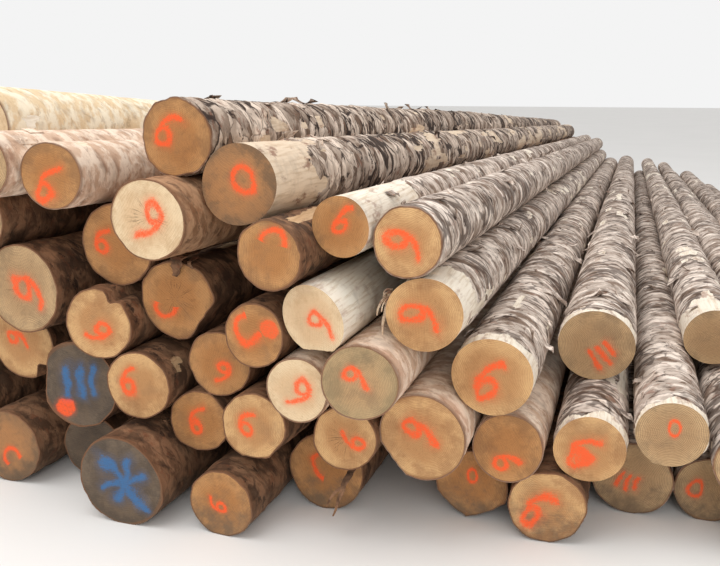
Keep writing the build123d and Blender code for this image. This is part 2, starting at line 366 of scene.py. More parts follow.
class NodeSketch:
    """Places and joins the nodes of one material or node group."""

    def __init__(self, tree: bpy.types.NodeTree) -> None:
        """Starts on an empty tree."""
        self.tree = tree
        tree.nodes.clear()

    def node(self, kind: str, inputs: dict | None = None, **settings: object) -> bpy.types.Node:
        """Adds a node.

        Args:
            kind: The node's type.
            inputs: A value or a flow for each input, by name or number.
            settings: The node's own settings.

        Returns:
            The new node.
        """
        node = self.tree.nodes.new(kind)
        for name, value in settings.items():
            setattr(node, name, value)
        self.feed(node, inputs or {})
        return node

    def feed(self, node: bpy.types.Node, inputs: dict) -> None:
        """Gives a node its inputs.

        Args:
            node: The node.
            inputs: A value or a flow for each input, by name or number.
        """
        for key, value in inputs.items():
            if isinstance(value, Flow):
                self.tree.links.new(value.socket, node.inputs[key])
            else:
                node.inputs[key].default_value = value

    def flow(self, kind: str, inputs: dict, output: int | str = 0, **settings: object) -> Flow:
        """One output of a new node."""
        return Flow(self, self.node(kind, inputs, **settings).outputs[output])

    def math(self, operation: str, *values: object, clamp: bool = False) -> Flow:
        """The result of a calculation with up to three numbers."""
        return self.flow("ShaderNodeMath", dict(enumerate(values)), operation=operation, use_clamp=clamp)

    def least(self, first: object, second: object) -> Flow:
        """The smaller number."""
        return self.math("MINIMUM", first, second)

    def most(self, first: object, second: object) -> Flow:
        """The larger number."""
        return self.math("MAXIMUM", first, second)

    def measure(self, operation: str, *vectors: object) -> Flow:
        """The number that a calculation with one or two vectors gives."""
        return self.flow("ShaderNodeVectorMath", dict(enumerate(vectors)), "Value", operation=operation)

    def parts(self, vector: Flow) -> list[Flow]:
        """X, Y and Z of a vector."""
        return [Flow(self, part) for part in self.node("ShaderNodeSeparateXYZ", {0: vector}).outputs]

    def noise(self, place: Flow, scale: float, detail: float = 2.0, rough: float = 0.5,
              output: int = 0) -> Flow:
        """Random cloudiness from 0 to 1, or with output 1 a random colour."""
        inputs = {"Vector": place, "Scale": scale, "Detail": detail, "Roughness": rough}
        return self.flow("ShaderNodeTexNoise", inputs, output)

    def sway(self, place: Flow, scale: float, detail: float, reach: Place) -> Flow:
        """A small random shift, up to half of reach each way."""
        return (self.noise(place, scale, detail, output=1) - (0.5, 0.5, 0.5)) * reach

    def mix(self, share: Flow, first: object, second: object) -> Flow:
        """A colour between two others, each a flow or a colour as it looks."""
        first, second = (linear(c) if isinstance(c, tuple) else c for c in (first, second))
        return self.flow("ShaderNodeMix", {0: share, 6: first, 7: second}, 2, data_type="RGBA")

    def attribute(self, name: str, output: str = "Fac") -> Flow:
        """A value that the mesh carries."""
        return self.flow("ShaderNodeAttribute", {}, output, attribute_name=name)

    def place(self) -> Flow:
        """The place on the object, in metres."""
        return self.flow("ShaderNodeTexCoord", {}, "Object")

    def group(self, tree: bpy.types.NodeTree, inputs: dict) -> dict[str, Flow]:
        """Adds a node group with its own input values and gives its outputs by name."""
        outputs = self.node("ShaderNodeGroup", inputs, node_tree=tree).outputs
        return {socket.name: Flow(self, socket) for socket in outputs}


class ShaderShelf:
    """The node groups that several materials share, and the materials, each built once."""

    def __init__(self) -> None:
        """Builds the shared groups."""
        self.streaks = self.bark_streaks()
        self.mud = self.splashed_mud()
        self.spray = self.sprayed_mark()
        self.made: dict[str, bpy.types.Material] = {}

    @staticmethod
    def new_group(name: str, inputs: dict[str, str], outputs: list[str]) -> tuple:
        """Starts a node group.

        Args:
            name: The group's name.
            inputs: Socket type for each input name.
            outputs: Names of the outputs, all plain numbers.

        Returns:
            The sketch, its inputs by name and its output node.
        """
        tree = bpy.data.node_groups.new(name, "ShaderNodeTree")
        for socket, kind in inputs.items():
            tree.interface.new_socket(name=socket, in_out="INPUT", socket_type=kind)
        for socket in outputs:
            tree.interface.new_socket(name=socket, in_out="OUTPUT", socket_type="NodeSocketFloat")
        sketch = NodeSketch(tree)
        given = {name: sketch.flow("NodeGroupInput", {}, name) for name in inputs}
        return sketch, given, sketch.node("NodeGroupOutput")

    def bark_streaks(self) -> bpy.types.NodeTree:
        """Plates with dark gaps around a trunk, torn places, fine dark lines, flakes and their height.

        Returns:
            The node group.
        """
        sketch, given, out = self.new_group(
            "bark streaks", {"Amount": "NodeSocketFloat", "Plates": "NodeSocketFloat"},
            ["Streak", "Blotch", "Flake", "Height"])
        place = sketch.place()
        swayed = place
        for scale, reach in ((5.0, (0.05, 0.09, 0.05)), (38.0, (0.014, 0.012, 0.014))):
            swayed = swayed + sketch.sway(place, scale, 3.0, reach)

        cells = {"Vector": swayed * (9, 21, 9), "Scale": 1.0}
        plate = sketch.flow("ShaderNodeTexVoronoi", cells, "Color")
        tone = sketch.flow("ShaderNodeSeparateColor", {0: plate})
        edge = sketch.flow("ShaderNodeTexVoronoi", cells, "Distance", feature="DISTANCE_TO_EDGE")
        opened = sketch.noise(place, 4.6, 3.0, 0.6).ramp(0.44, 0.66, 0.16)
        gap = (1.0 - (edge - opened).ramp(-0.03, 0.05)) * given["Plates"]

        lines = sketch.noise(swayed * (28, 95, 28), 1.0, 2.0, 0.6).ramp(0.6, 0.72, 0.4)
        low = sketch.noise(place, 2.6, 3.0, 0.6) * -0.3 + 0.76
        torn = (sketch.noise(swayed * (13, 25, 13), 1.0, 5.0, 0.7) - low).ramp(-0.02, 0.05)
        streak = sketch.most(sketch.most(gap, lines), torn)
        streak = sketch.math("MULTIPLY", streak, given["Amount"], clamp=True)

        cloud = sketch.noise(swayed * (12, 18, 12), 1.0, 4.0, 0.6).ramp(0.42, 0.58)
        share = given["Plates"] * 0.62
        blotch = tone.ramp(0.15, 0.85) * share + cloud * (1.0 - share)
        flake = sketch.noise(swayed * (24, 40, 24), 1.0, 3.0, 0.6).ramp(0.58, 0.66)
        height = blotch * 0.5 + sketch.noise(place, 190.0, 3.0, 0.65) * 0.35 - streak * 0.6
        sketch.feed(out, {"Streak": streak, "Blotch": blotch, "Flake": flake, "Height": height})
        return sketch.tree

    def splashed_mud(self) -> bpy.types.NodeTree:
        """Mud near the ground and smudges anywhere.

        Returns:
            The node group.
        """
        sketch, given, out = self.new_group("splashed mud", {"Amount": "NodeSocketFloat"}, ["Mud"])
        place = sketch.place()
        reach = sketch.noise(place, 23.0, 4.0, 0.65) * 0.42 - 0.12
        low = (reach - sketch.parts(place)[2]).ramp(-0.1, 0.12, 0.85)
        smudge = sketch.noise(place, 11.0, 4.0, 0.6).ramp(0.5, 0.72, given["Amount"])
        sketch.feed(out, {"Mud": sketch.math("MAXIMUM", low, smudge, clamp=True)})
        return sketch.tree

    def sprayed_mark(self) -> bpy.types.NodeTree:
        """One hand-sprayed mark: how much paint lies at a point of its own square.

        Returns:
            The node group.
        """
        inputs = {"Point": "NodeSocketVector", "Shake": "NodeSocketVector", "Fuzz": "NodeSocketFloat",
                  "Cover": "NodeSocketFloat"}
        sketch, given, out = self.new_group("sprayed mark", inputs, ["Paint"])
        number = sketch.parts(given["Point"])[2]
        point = given["Point"] * (1, 1, 0) + given["Shake"]
        across, up, _ = sketch.parts(point)

        def around(x: float, y: float, radius: float) -> Flow:
            """Distance from a circle."""
            return abs((point - (x, y, 0)).length() - radius)

        def only(distance: Flow, inside: Flow) -> Flow:
            """The distance where inside is 1, and far away elsewhere."""
            return distance + (1.0 - inside) * 5.0

        def strokes(*ends: tuple[float, float, float, float]) -> Flow:
            """Distance from the nearest of several straight strokes.

            Args:
                ends: For each stroke, X and Y of both its ends.

            Returns:
                The distance.
            """
            nearest = None
            for x, y, far_x, far_y in ends:
                run = Vector((far_x - x, far_y - y, 0))
                away = point - (x, y, 0)
                share = sketch.measure("DOT_PRODUCT", away, tuple(run / run.length_squared))
                share = sketch.math("ADD", share, 0.0, clamp=True)
                along = {0: tuple(run), "Scale": share}
                along = sketch.flow("ShaderNodeVectorMath", along, operation="SCALE")
                distance = (away - along).length()
                nearest = sketch.least(nearest, distance) if nearest else distance
            return nearest

        left = sketch.math("GREATER_THAN", up, -0.5) * sketch.math("LESS_THAN", across, 0.42)
        loop = sketch.least(around(0.08, -0.5, 0.38), only(around(0.78, -0.42, 1.08), left))
        fields = {
            SIX: sketch.least(loop, strokes((0.36, 0.57, 0.6, 0.66))),
            RING: abs((point * (1.35, 0.92, 1)).length() - 0.62),
            ARC: only(around(0, -0.1, 0.72), sketch.math("GREATER_THAN", up, -0.35)),
            BLOB: point.length() - 0.5,
            STAR: strokes((-0.6, 0.85, 0.5, -0.95), (0.45, 0.65, -0.35, -0.7), (-0.8, -0.1, 0.8, 0.02)),
            SCRIBBLE: strokes((-0.85, -0.3, -0.3, 0.6), (-0.3, -0.55, 0.2, 0.4), (0.35, -0.45, 0.75, 0.25)),
        }
        distance = 5.0
        for shape, field in fields.items():
            chosen = sketch.math("COMPARE", number, float(shape.value), 0.4)
            distance = sketch.least(distance, only(field, chosen))
        fuzzy = distance + given["Fuzz"]
        line = (1.0 - fuzzy.ramp(0.05, 0.26)) * given["Cover"]
        mist = (1.0 - fuzzy.ramp(0.1, 0.5)) * 0.18
        sketch.feed(out, {"Paint": sketch.most(line, mist)})
        return sketch.tree

    def dressed(self, tone: Enum) -> bpy.types.Material:
        """The material of one finish, drawn the first time that it is asked for.

        Args:
            tone: A kind of bark or of sawn end.

        Returns:
            The material.
        """
        looks = tone.value
        if looks.name not in self.made:
            made = bpy.data.materials.new(looks.name)
            made.use_nodes = True
            draw = self.draw_bark if isinstance(looks, BarkFinish) else self.draw_wood
            draw(NodeSketch(made.node_tree), looks)
            self.made[looks.name] = made
        return self.made[looks.name]

    @staticmethod
    def finish(sketch: NodeSketch, colour: Flow, rough: object, height: Flow, depth: float) -> None:
        """Ends a material with its shader and its fine relief.

        Args:
            sketch: The material's nodes.
            colour: The colour.
            rough: Roughness, a flow or a number.
            height: The fine relief, 0 to 1.
            depth: Height of the fine relief in metres.
        """
        bump = sketch.flow("ShaderNodeBump", {"Height": height, "Strength": 0.8, "Distance": depth})
        inputs = {"Base Color": colour, "Roughness": rough, "Normal": bump, "Specular IOR Level": 0.25}
        shader = sketch.flow("ShaderNodeBsdfPrincipled", inputs)
        sketch.node("ShaderNodeOutputMaterial", {"Surface": shader})

    def draw_bark(self, sketch: NodeSketch, looks: BarkFinish) -> None:
        """Draws bark, with the bare wood where it is stripped.

        Args:
            sketch: The material's nodes.
            looks: The bark's colours.
        """
        place = sketch.place()
        streaks = sketch.group(self.streaks, {"Amount": looks.streaks, "Plates": looks.plates})
        colour = sketch.mix(streaks["Blotch"], looks.deep, looks.pale)
        colour = sketch.mix(streaks["Flake"] * looks.flakes, colour, looks.flake)
        colour = sketch.mix(streaks["Streak"], colour, looks.streak)
        # Painted shade in the bark's hollows: where the relief is low the colour goes towards the streak
        # colour. The lowered branch scars take this darker colour as their own.
        crevice_shade = 1.0 - sketch.attribute("relief").ramp(0.05, 0.42)
        colour = sketch.mix(crevice_shade * 0.6, colour, looks.streak)

        fibres = sketch.noise(place * (90, 6, 90), 1.0, 4.0, 0.65)
        stained = min(1.0, 0.15 + looks.flakes)
        stain = sketch.noise(place * (15, 7, 15), 1.0, 5.0, 0.65).ramp(0.54, 0.66, stained)
        shade = tuple(part * tint for part, tint in zip(looks.bare, (0.8, 0.72, 0.62)))
        wood = sketch.mix(stain, sketch.mix(fibres.ramp(0.42, 0.72, 0.6), looks.bare, shade), looks.flake)
        torn = sketch.noise(place, 70.0, 4.0, 0.65) * 0.9 - 0.45
        bare = (sketch.attribute("bare") + torn).ramp(0.42, 0.56)
        colour = sketch.mix(bare, colour, wood)

        colour = sketch.mix(sketch.attribute("section"), colour, (122, 86, 62))
        colour = sketch.mix(sketch.group(self.mud, {"Amount": 0.25})["Mud"], colour, (104, 84, 66))
        height = sketch.mix(bare, streaks["Height"], fibres * 0.3)
        self.finish(sketch, colour, bare.ramp(1.0, 0.0, 0.22) + 0.62, height, 0.004)

    def draw_wood(self, sketch: NodeSketch, looks: WoodFinish) -> None:
        """Draws a sawn end, with its rings, saw marks, cracks, dirt and paint.

        Args:
            sketch: The material's nodes.
            looks: The wood's colours.
        """
        place = sketch.place()
        grain = sketch.attribute("grain", "Vector")
        flat = grain * (1, 1, 0)
        rings = (flat.length() + sketch.noise(flat, 14.0) * 0.016) * (2 * math.pi / RING_WIDTH)
        edge = sketch.attribute("edge")
        cloud = sketch.noise(place, 17.0, 4.0, 0.6) * 0.55 - 0.28
        colour = sketch.mix((edge + cloud).ramp(0.42, 0.9), looks.heart, looks.outer)
        colour = sketch.mix(sketch.math("SINE", rings).ramp(-0.2, 1.0, looks.rings), colour, looks.ring)

        across, along, cracks = sketch.parts(grain)
        teeth = sketch.noise(place, 30.0) * 9.0 + along * (2 * math.pi / SAW_TOOTH)
        teeth = sketch.math("SINE", teeth).ramp(0.1, 1.0)
        worn = sketch.noise(place, 12.0, 3.0).ramp(0.42, 0.66, 0.2)
        colour = sketch.mix(teeth * worn, colour, looks.ring)

        turn = sketch.math("ARCTAN2", along, across)
        spokes = {0: sketch.math("SINE", turn), 1: sketch.math("COSINE", turn)}
        spokes = sketch.flow("ShaderNodeCombineXYZ", spokes) * (4, 4, 0) + flat * (3, 3, 0)
        near = abs(sketch.noise(spokes, 1.3, 3.0, 0.55) - 0.5)
        crack = (1.0 - near.ramp(0.002, 0.009)) * (1.0 - edge.ramp(0.25, 0.7)) * cracks
        colour = sketch.mix(crack, colour, (74, 50, 34))

        colour = sketch.mix(sketch.group(self.mud, {"Amount": looks.dirt})["Mud"], colour, (108, 90, 72))
        outward = edge * 0.3 + sketch.noise(place, 7.5, 5.0, 0.7)
        colour = sketch.mix(outward.ramp(0.68, 0.86, looks.stained), colour, looks.stain)
        specks = sketch.noise(place, 95.0, 4.0, 0.75).ramp(0.5, 0.72, 0.3)
        colour = sketch.mix(specks, colour, looks.stain)
        colour = sketch.mix((edge + cloud * 0.06).ramp(0.94, 0.99, 0.45), colour, (128, 86, 54))

        fuzz = sketch.noise(place, 210.0, 3.0, 0.75) * 0.4 - 0.3
        cover = sketch.noise(place, 120.0, 3.0, 0.7).ramp(0.3, 0.55)
        brush = {"Shake": sketch.sway(place, 9.0, 1.0, (0.9, 0.9, 0.0)), "Cover": cover * 0.34 + 0.64,
                 "Fuzz": sketch.noise(place, 26.0, 1.0) * 0.2 + fuzz}
        for name, paint in MARK_PAINTS.items():
            sprayed = sketch.group(self.spray, {"Point": sketch.attribute(name, "Vector"), **brush})["Paint"]
            colour = sketch.mix(sprayed * 0.94, colour, paint)
        height = teeth * 0.5 + sketch.noise(place, 420.0) * 0.4 - crack
        self.finish(sketch, colour, 0.72, height, 0.0012)


# Meshes


def store(mesh: bpy.types.Mesh, name: str, values: np.ndarray) -> None:
    """Stores a number or a vector for each point of a mesh, which the materials read."""
    kind, key = ("FLOAT", "value") if values.ndim == 1 else ("FLOAT_VECTOR", "vector")
    mesh.attributes.new(name, kind, "POINT").data.foreach_set(key, values.reshape(-1))


def put(name: str, data: bpy.types.ID) -> bpy.types.Object:
    """Puts a new object into the scene.

    Args:
        name: The object's name.
        data: Its mesh, camera or lamp.

    Returns:
        The object.
    """
    made = bpy.data.objects.new(name, data)
    bpy.context.scene.collection.objects.link(made)
    return made


def scrap(name: str, points: list, faces: list, material: bpy.types.Material, bare: float,
          relief: float) -> bpy.types.Object:
    """Makes a loose piece of bark or fibres, which looks the same all over.

    Args:
        name: The piece's name.
        points: Its points.
        faces: Its faces.
        material: What it is made of.
        bare: 1 for bare wood, 0 for bark.
        relief: Height in the bark's relief, 0 to 1; where it is low the material paints shade.

    Returns:
        The piece.
    """
    mesh = bpy.data.meshes.new(name)
    mesh.from_pydata(points, [], faces)
    mesh.materials.append(material)
    for layer, value in (("bare", bare), ("relief", relief), ("section", 0.0)):
        store(mesh, layer, np.full(len(points), value))
    return put(name, mesh)


def triangles_in(made: bpy.types.Object) -> int:
    """How many triangles an object's faces come to."""
    return sum(len(face.vertices) - 2 for face in made.data.polygons)


# Trunks


@dataclass
class TrunkForm:
    """The plain shape of a trunk, read from its solid: pith line, rim and sawn face."""

    node: bpy.types.Object
    around: int

    def __post_init__(self) -> None:
        """Finds the sawn face, the pith line and the distance of the rim from it."""
        mesh = self.node.data
        corners = np.empty(len(mesh.vertices) * 3)
        mesh.vertices.foreach_get("co", corners)
        corners = corners.reshape(-1, 3)
        faces = [tuple(face.vertices) for face in mesh.polygons]
        self.tree = BVHTree.FromPolygons([Vector(corner) for corner in corners], faces)
        self.front, self.back = corners[:, 1].min(), corners[:, 1].max()
        sawn = [p for p in mesh.polygons if p.normal.y < -0.7]
        area = sum(p.area for p in sawn)
        self.facing = sum((p.normal * p.area for p in sawn), Vector()).normalized()
        self.face_middle = sum((p.center * p.area for p in sawn), Vector()) / area
        self.find_pith(corners)
        self.find_rim()

    def find_pith(self, corners: np.ndarray) -> None:
        """Finds the line of centres through the butt, the knee and the top.

        Args:
            corners: The solid's corners, three numbers to a row.
        """
        rings = [corners[corners[:, 1] > self.back - 0.001]]
        inner = corners[(corners[:, 1] > self.front + CUTS_REACH) & (corners[:, 1] < self.back - 0.5)]
        if len(inner):
            rings.insert(0, inner)
        middles = [np.unique(ring.round(5), axis=0).mean(axis=0) for ring in rings]
        self.knots = np.array([tuple(self.face_middle), *middles])

    def pith(self, along: np.ndarray) -> tuple[np.ndarray, np.ndarray]:
        """Where the pith runs.

        Args:
            along: Places along Y.

        Returns:
            X and Z of the pith at these places.
        """
        knots = self.knots
        slope = (knots[1] - knots[0]) / (knots[1][1] - knots[0][1])
        ahead = np.minimum(along - knots[0][1], 0)
        x = np.interp(along, knots[:, 1], knots[:, 0]) + ahead * slope[0]
        z = np.interp(along, knots[:, 1], knots[:, 2]) + ahead * slope[2]
        return x, z

    def find_rim(self) -> None:
        """Measures the solid from the pith outwards, at stations that lie close together at the butt."""
        near = [0.004, 0.02, 0.05, 0.09, 0.14, 0.2, 0.27, 0.35, 0.43, 0.52, 0.62, 0.75, 0.9, CUTS_REACH]
        stations = [*(self.face_middle.y + np.array(near)), *self.knots[1:-1, 1], self.back - 0.0005]
        self.stations = np.array(sorted(stations))
        turns = np.arange(self.around) * 2 * math.pi / self.around
        self.ways = np.stack([np.cos(turns), np.zeros(self.around), np.sin(turns)], axis=1)
        xs, zs = self.pith(self.stations)
        table = np.zeros((len(self.stations), self.around))
        for row, (x, y, z) in enumerate(zip(xs, self.stations, zs)):
            for column, way in enumerate(self.ways):
                _, outward, _, away = self.tree.ray_cast(Vector((x, y, z)), Vector(way), 1.0)
                table[row, column] = away if away and abs(outward.y) < 0.7 else np.nan
        for row in range(len(table) - 2, -1, -1):
            lost = np.isnan(table[row])
            table[row, lost] = table[row + 1, lost]
        reach = max(1, round(self.around / SOLID_SIDES))
        smooth = sum(np.roll(table, step, axis=1) for step in range(-reach, reach + 1)) / (2 * reach + 1)
        self.rim = np.where(np.abs(smooth - table) < SMOOTHING_LIMIT, smooth, table)
        self.radius = float(self.rim[0].mean())

    def rim_at(self, along: np.ndarray) -> np.ndarray:
        """Distance of the rim from the pith.

        Args:
            along: Places, one row for each ring and one column for each direction.

        Returns:
            Distances of the same form.
        """
        columns = [np.interp(along[:, c], self.stations, self.rim[:, c]) for c in range(self.around)]
        return np.stack(columns, axis=1)

    def face_y(self, x: np.ndarray, z: np.ndarray) -> np.ndarray:
        """Y of the sawn face at x and z."""
        tilt = self.facing.x * (x - self.face_middle.x) + self.facing.z * (z - self.face_middle.z)
        return self.face_middle.y - tilt / self.facing.y


@dataclass
class FelledTrunk:
    """One trunk with its bark, its bare places and its two sawn ends."""

    name: str
    look: Look
    seed: int
    crowding: float = 2.6
    face_rings: int = 10
    top_rings: int = 4

    def __post_init__(self) -> None:
        """Reads the solid's shape."""
        self.around, self.along = self.look.detail.value
        self.form = TrunkForm(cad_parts[self.name], self.around)
        self.random = np.random.default_rng(self.seed)

    def surface(self) -> None:
        """Lays out the bark: its rings from butt to top, with relief and bare places."""
        form, look = self.form, self.look
        x, z = form.pith(np.full(self.around, form.face_middle.y))
        first = form.rim_at(np.full((1, self.around), form.face_middle.y))[0]
        start = form.face_y(x + first * form.ways[:, 0], z + first * form.ways[:, 2])
        share = np.linspace(0, 1, self.along + 1)
        share = (np.exp(self.crowding * share) - 1) / (math.exp(self.crowding) - 1)
        y = start[None, :] + share[:, None] * (form.back - start)[None, :]
        x, z = form.pith(y)
        rim = form.rim_at(y)
        points = np.stack([x + rim * form.ways[:, 0], y, z + rim * form.ways[:, 2]], axis=2).reshape(-1, 3)
        distance = (y - start[None, :]).reshape(-1)

        spots = 0.6 * lumps(points, (0.12, 0.3, 0.12), 21) + 0.4 * lumps(points, (0.04, 0.09, 0.04), 22)
        self.bare = fade(spots, 0.62 - look.patches, 0.66 - look.patches) * fade(distance, 0.02, 0.1)
        if look.strip:
            ragged = 0.1 * lumps(points, (0.08, 0.3, 0.08), 11) + 0.04 * lumps(points, (0.03, 0.08, 0.03), 12)
            ragged *= min(1.0, 0.35 + 2.2 * look.strip)
            self.bare = np.maximum(self.bare, fade(look.strip + ragged - distance, -0.008, 0.008))

        height = look.bark.value.relief
        plates = lumps(points, (0.05, 0.028, 0.05), 31)
        scales = lumps(points, (0.022, 0.013, 0.022), 32)
        swell = lumps(points, (0.25, 0.5, 0.25), 33)
        grown = 0.003 * height * plates + 0.0019 * height * scales
        knots, scars = self.branch_scars(points, distance)
        # This relief also sets the painted shade in the bark's hollows. The branch scars are lowered in it so
        # that they get their own darker colour.
        self.relief = np.clip(0.5 + 0.35 * plates + 0.25 * scales - scars * 0.5, 0, 1)
        lift = grown * (1 - self.bare) - BARK_THICKNESS * 0.8 * self.bare + 0.003 * swell + knots
        lift += 0.004 * height * fade(self.bare, 0.02, 0.3) * (1 - fade(self.bare, 0.3, 0.7))
        lift = np.clip(lift, -RELIEF_LIMIT, RELIEF_LIMIT) * fade(form.back - y.reshape(-1), -0.01, 0.15)
        out = rim + lift.reshape(rim.shape)
        up = np.maximum(z + out * form.ways[:, 2], 0.0)
        self.body = np.stack([x + out * form.ways[:, 0], y, up], axis=2)

    def branch_scars(self, points: np.ndarray, distance: np.ndarray) -> tuple[np.ndarray, np.ndarray]:
        """Bumps where branches were cut off.

        Args:
            points: The places on the trunk.
            distance: Their distance from the butt.

        Returns:
            Height of the bumps in metres, and a mask of the dark scars.
        """
        height, scars = np.zeros(len(points)), np.zeros(len(points))
        for _ in range(int(self.random.integers(5, 10))):
            along = self.random.uniform(0.5, 9.0)
            turn = self.random.uniform(0, 2 * math.pi)
            column = int(turn / (2 * math.pi) * self.around) % self.around
            row = int(np.argmin(np.abs(distance.reshape(-1, self.around)[:, column] - along)))
            middle = points[row * self.around + column]
            size = self.random.uniform(0.018, 0.034)
            near = np.exp(-(((points - middle) / size) ** 2).sum(axis=1))
            height += 0.007 * near
            scars += fade(near, 0.45, 0.8)
        return height, np.clip(scars, 0, 1)

    def end_rings(self, rim: np.ndarray, shares: np.ndarray, front: bool) -> np.ndarray:
        """Rings of a sawn end, from the rim inwards.

        Args:
            rim: The rim's points.
            shares: Distance of each ring from the middle, 1 at the rim.
            front: Whether this is the butt.

        Returns:
            The rings' points; with a share of 0 the last ring lies in the middle.
        """
        form = self.form
        y = form.face_middle.y if front else form.back
        x, z = form.pith(np.array([y]))
        middle = np.array([x[0], y, z[0]])
        rings = middle + (rim - middle)[None, :, :] * shares[:, None, None]
        rings[:, :, 1] = form.face_y(rings[:, :, 0], rings[:, :, 2]) if front else form.back
        return rings

    def marks_at(self, points: np.ndarray, count: int) -> dict[str, np.ndarray]:
        """Places of the butt's points in the squares of the sprayed marks.

        Args:
            points: The trunk's points, those of the butt first.
            count: How many belong to the butt.

        Returns:
            For each mark layer, a place and the shape's number for each point.
        """
        layers = {name: np.zeros((len(points), 3)) for name in MARK_PAINTS}
        orange = iter(("first_mark", "second_mark"))
        middle, radius = self.form.face_middle, self.form.radius
        for mark in self.look.marks:
            name = "blue_mark" if mark.blue else next(orange)
            across = (points[:count, 0] - middle.x) / radius - mark.across
            up = (points[:count, 2] - middle.z) / radius - mark.up
            across, up = turned(across, up, math.radians(-mark.turn))
            shape = np.full(count, mark.shape.value)
            layers[name][:count] = np.stack([across / mark.size, up / mark.size, shape], axis=1)
        return layers

    def build(self, shelf: ShaderShelf) -> bpy.types.Object:
        """Makes the trunk's mesh and dresses it.

        Args:
            shelf: The materials.

        Returns:
            The finished object.
        """
        self.surface()
        around = self.around
        inside = 1 - BARK_THICKNESS / self.form.radius
        front = self.end_rings(self.body[0], np.linspace(inside, 0, self.face_rings), True)
        back = self.end_rings(self.body[-1], np.linspace(1, 0, self.top_rings + 1)[1:], False)
        front, front_middle, back, back_middle = front[:-1], front[-1, :1], back[:-1], back[-1, :1]
        points = np.concatenate([front_middle, front[::-1].reshape(-1, 3), self.body.reshape(-1, 3),
                                 back.reshape(-1, 3), back_middle])
        starts = 1 + np.arange(len(front) + len(self.body) + len(back)) * around
        here, there, last = starts[:-1, None], starts[1:, None], starts[-1]
        side = np.arange(around)
        after = (side + 1) % around
        quads = np.stack([there + side, there + after, here + after, here + side], axis=2).reshape(-1, 4)
        fans = np.stack([1 + side, 1 + after, 0 * side], axis=1).tolist()
        fans += np.stack([last + after, last + side, 0 * side + len(points) - 1], axis=1).tolist()
        mesh = bpy.data.meshes.new(self.name + "_trunk")
        mesh.from_pydata(points.tolist(), [], quads.tolist() + fans)

        skin = np.ones(len(mesh.polygons), dtype=np.int32)
        bark_start = (len(front) if self.look.strip else len(front) - 1) * around
        skin[bark_start: (len(front) + len(self.body) - 1) * around] = 0
        mesh.polygons.foreach_set("material_index", skin)
        self.carry(mesh, points, len(front), len(back))
        mesh.materials.append(shelf.dressed(self.look.bark))
        mesh.materials.append(shelf.dressed(self.look.wood))
        mesh.polygons.foreach_set("use_smooth", [True] * len(mesh.polygons))
        mesh.update()
        mesh.set_sharp_from_angle(angle=SHARP_ANGLE)
        made = put(self.name + "_trunk", mesh)
        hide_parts(self.name)
        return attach(made, "root")

    def carry(self, mesh: bpy.types.Mesh, points: np.ndarray, front: int, back: int) -> None:
        """Stores on the mesh what the materials read from it.

        Args:
            mesh: The trunk's mesh.
            points: Its points.
            front: Number of rings on the butt.
            back: Number of rings on the top end.
        """
        form, around, count = self.form, self.around, len(points)
        first, last = 1 + front * around, count - 1 - back * around
        bare, relief, section = np.zeros(count), np.full(count, 0.6), np.zeros(count)
        bare[first:last], relief[first:last] = self.bare, self.relief
        if self.look.strip:
            bare[:first] = 1.0
        else:
            section[first - around: first] = 1.0
            section[first: first + around] = 0.8

        spin = self.random.uniform(0, 2 * math.pi)
        offset = self.random.uniform(-0.1, 0.1, 2) * form.radius
        at_butt = np.arange(count) < last
        away = points - np.where(at_butt[:, None], form.knots[0], form.knots[-1])
        edge = np.hypot(away[:, 0], away[:, 2]) / np.where(at_butt, form.radius, float(form.rim[-1].mean()))
        edge[first: first + around] = 1.0
        if self.look.strip:
            edge *= 0.9
        across, up = turned(away[:, 0] - offset[0], away[:, 2] - offset[1], spin)
        grain = np.stack([across, up, np.full(count, self.look.cracks)], axis=1)
        layers = {"bare": bare, "relief": relief, "section": section, "edge": edge, "grain": grain}
        for name, values in {**layers, **self.marks_at(points, first + around)}.items():
            store(mesh, name, values)

    def flap_points(self, rows: int, columns: int) -> list[Place]:
        """Places of one loose flap of bark, its inner side first.

        Args:
            rows: Number of points along the trunk.
            columns: Number of points from the edge that holds to the free edge.

        Returns:
            The points of both sides, row by row.
        """
        form = self.form
        along = form.front + 0.12 + 6.5 * self.random.uniform(0, 1) ** 1.6
        turn = self.random.uniform(0.1 * math.pi, 0.95 * math.pi)
        length, width = self.random.uniform(0.03, 0.12), self.random.uniform(0.02, 0.065)
        rise = self.random.uniform(0.006, 0.026) * min(1.3, self.look.bark.value.relief)
        way = 1 if self.random.uniform() < 0.5 else -1
        torn = self.random.uniform(0.45, 1.25, rows)
        points = []
        for layer in (0.0, FLAP_THICKNESS):
            for spot in range(rows * columns):
                side, out = spot // columns / (rows - 1), spot % columns / (columns - 1)
                ragged = 1 + (torn[spot // columns] - 1) * out
                y = along + (side - 0.5) * length * (1 - 0.3 * out)
                bend = turn + way * width * out * ragged / USUAL_RADIUS
                x, z = form.pith(np.array([y]))
                slot = int(bend / (2 * math.pi) * form.around) % form.around
                reach = float(np.interp(y, form.stations, form.rim[:, slot]))
                reach += 0.0005 + layer + rise * out ** 1.7
                points.append((x[0] + reach * math.cos(bend), y, z[0] + reach * math.sin(bend)))
        return points

